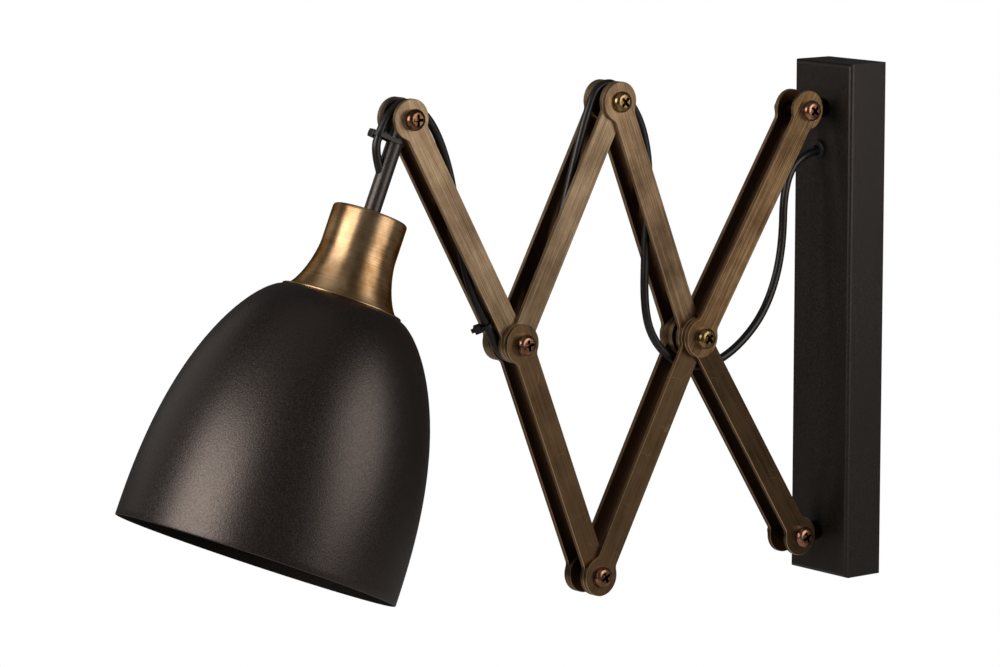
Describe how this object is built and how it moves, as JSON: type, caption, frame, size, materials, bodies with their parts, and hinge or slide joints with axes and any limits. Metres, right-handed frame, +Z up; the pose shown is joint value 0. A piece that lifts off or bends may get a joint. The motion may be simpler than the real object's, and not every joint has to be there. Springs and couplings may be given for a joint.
{
  "type": "accordion wall lamp",
  "caption": "Wall lamp whose bell shade hangs from a scissor arm of flat brass links pivoted on a tall black wall box.",
  "frame": {"origin": "middle of the wall bracket's back, on the wall", "axes": "+Y into the wall, +Z up, X along the arm's pivots"},
  "size_m": [0.171, 0.5329, 0.326],
  "materials": {
    "antique_brass": "lengthwise brushed, aged and clear lacquered",
    "dark_brass": "turned and darkened",
    "copper_screw": "polished copper-coloured plating",
    "bright_washer": "bright plated",
    "black_enamel": "semi-gloss black enamel",
    "zinc_steel": "zinc plated",
    "black_screw": "blackened steel",
    "terminal_plastic": "natural nylon",
    "black_rubber": "moulded",
    "spun_brass": "spun, fine turning lines, warm lacquer",
    "holder_plastic": "moulded, heat resistant",
    "socket_metal": "nickel-brass screw shell",
    "shade_paint": "satin black with a fine grain",
    "tie_plastic": "black nylon",
    "cord_rubber": "smooth black sheath"
  },
  "bodies": {
    "wall_mount": {"wall_bracket": "zinc_steel", "wall_box": "black_enamel", "box_screws": "black_screw", "terminal_block": "terminal_plastic", "cord_grommet": "black_rubber", "upper_post": "black_enamel", "lower_post": "black_enamel", "post_nuts": "zinc_steel", "near_upper_wall_link": "antique_brass", "far_upper_wall_link": "antique_brass", "near_lower_wall_link": "antique_brass", "far_lower_wall_link": "antique_brass", "crossing_spacer": "dark_brass", "crossing_washers": "bright_washer", "wall_top_washers": "bright_washer", "wall_bottom_washers": "bright_washer", "cord_1": "cord_rubber", "crossing_screw": "copper_screw", "crossing_nut": "copper_screw", "wall_top_screw": "copper_screw", "wall_top_nut": "copper_screw", "wall_bottom_screw": "copper_screw", "wall_bottom_nut": "copper_screw"},
    "rear_upper": {"near_rear_upper_link": "antique_brass", "far_rear_upper_link": "antique_brass", "top_knee_spacer": "dark_brass", "cord_2": "cord_rubber", "top_knee_screw": "copper_screw", "top_knee_nut": "copper_screw"},
    "rear_lower": {"near_rear_lower_link": "antique_brass", "far_rear_lower_link": "antique_brass", "bottom_knee_spacer": "dark_brass", "bottom_knee_screw": "copper_screw", "bottom_knee_nut": "copper_screw"},
    "front_upper": {"near_front_upper_link": "antique_brass", "far_front_upper_link": "antique_brass", "elbow_spacer": "dark_brass", "elbow_washers": "bright_washer", "cord_3": "cord_rubber", "elbow_screw": "copper_screw", "elbow_nut": "copper_screw"},
    "front_lower": {"near_front_lower_link": "antique_brass", "far_front_lower_link": "antique_brass"},
    "head_arm": {"near_head_link": "antique_brass", "far_head_link": "antique_brass", "elbow_tie": "tie_plastic", "cord_4": "cord_rubber"},
    "lamp_head": {"lamp_stem": "black_enamel", "stem_collar": "black_enamel", "cup": "spun_brass", "lamp_holder": "holder_plastic", "socket_shell": "socket_metal", "shade": "shade_paint", "shade_ring": "holder_plastic", "head_washers": "bright_washer", "head_tie": "tie_plastic", "cord_5": "cord_rubber", "head_screw": "copper_screw", "head_nut": "copper_screw"}
  },
  "joints": [
    {"name": "arm_swing", "type": "hinge", "parent": "wall_mount", "child": "rear_upper", "pos_m": [-0.0045, -0.1345, -0.001], "axis": [1, 0, 0], "range_deg": [-20, 15], "deforming": ["cord_2"]},
    {"name": "scissor_fold", "type": "hinge", "parent": "rear_upper", "child": "rear_lower", "pos_m": [-0.0045, -0.1345, -0.001], "axis": [1, 0, 0], "range_deg": [-60, 25]},
    {"name": "top_knee_follow", "type": "hinge", "parent": "rear_upper", "child": "front_upper", "pos_m": [-0.0105, -0.1934, 0.14776], "axis": [1, 0, 0], "range_deg": [-60, 25], "deforming": ["cord_3"]},
    {"name": "bottom_knee_follow", "type": "hinge", "parent": "rear_lower", "child": "front_lower", "pos_m": [-0.0075, -0.20987, -0.14214], "axis": [1, 0, 0], "range_deg": [-25, 60]},
    {"name": "arm_reach", "type": "hinge", "parent": "front_upper", "child": "head_arm", "pos_m": [-0.012, -0.26877, 0.00662], "axis": [1, 0, 0], "range_deg": [-30, 15], "deforming": ["cord_4"]},
    {"name": "shade_tilt", "type": "hinge", "parent": "head_arm", "child": "lamp_head", "pos_m": [-0.015, -0.34682, 0.14629], "axis": [1, 0, 0], "range_deg": [-45, 8], "deforming": ["cord_5"]}
  ],
  "couplings": [
    {"joint": "top_knee_follow", "follows": "scissor_fold", "ratio": 1},
    {"joint": "bottom_knee_follow", "follows": "scissor_fold", "ratio": -1}
  ]
}
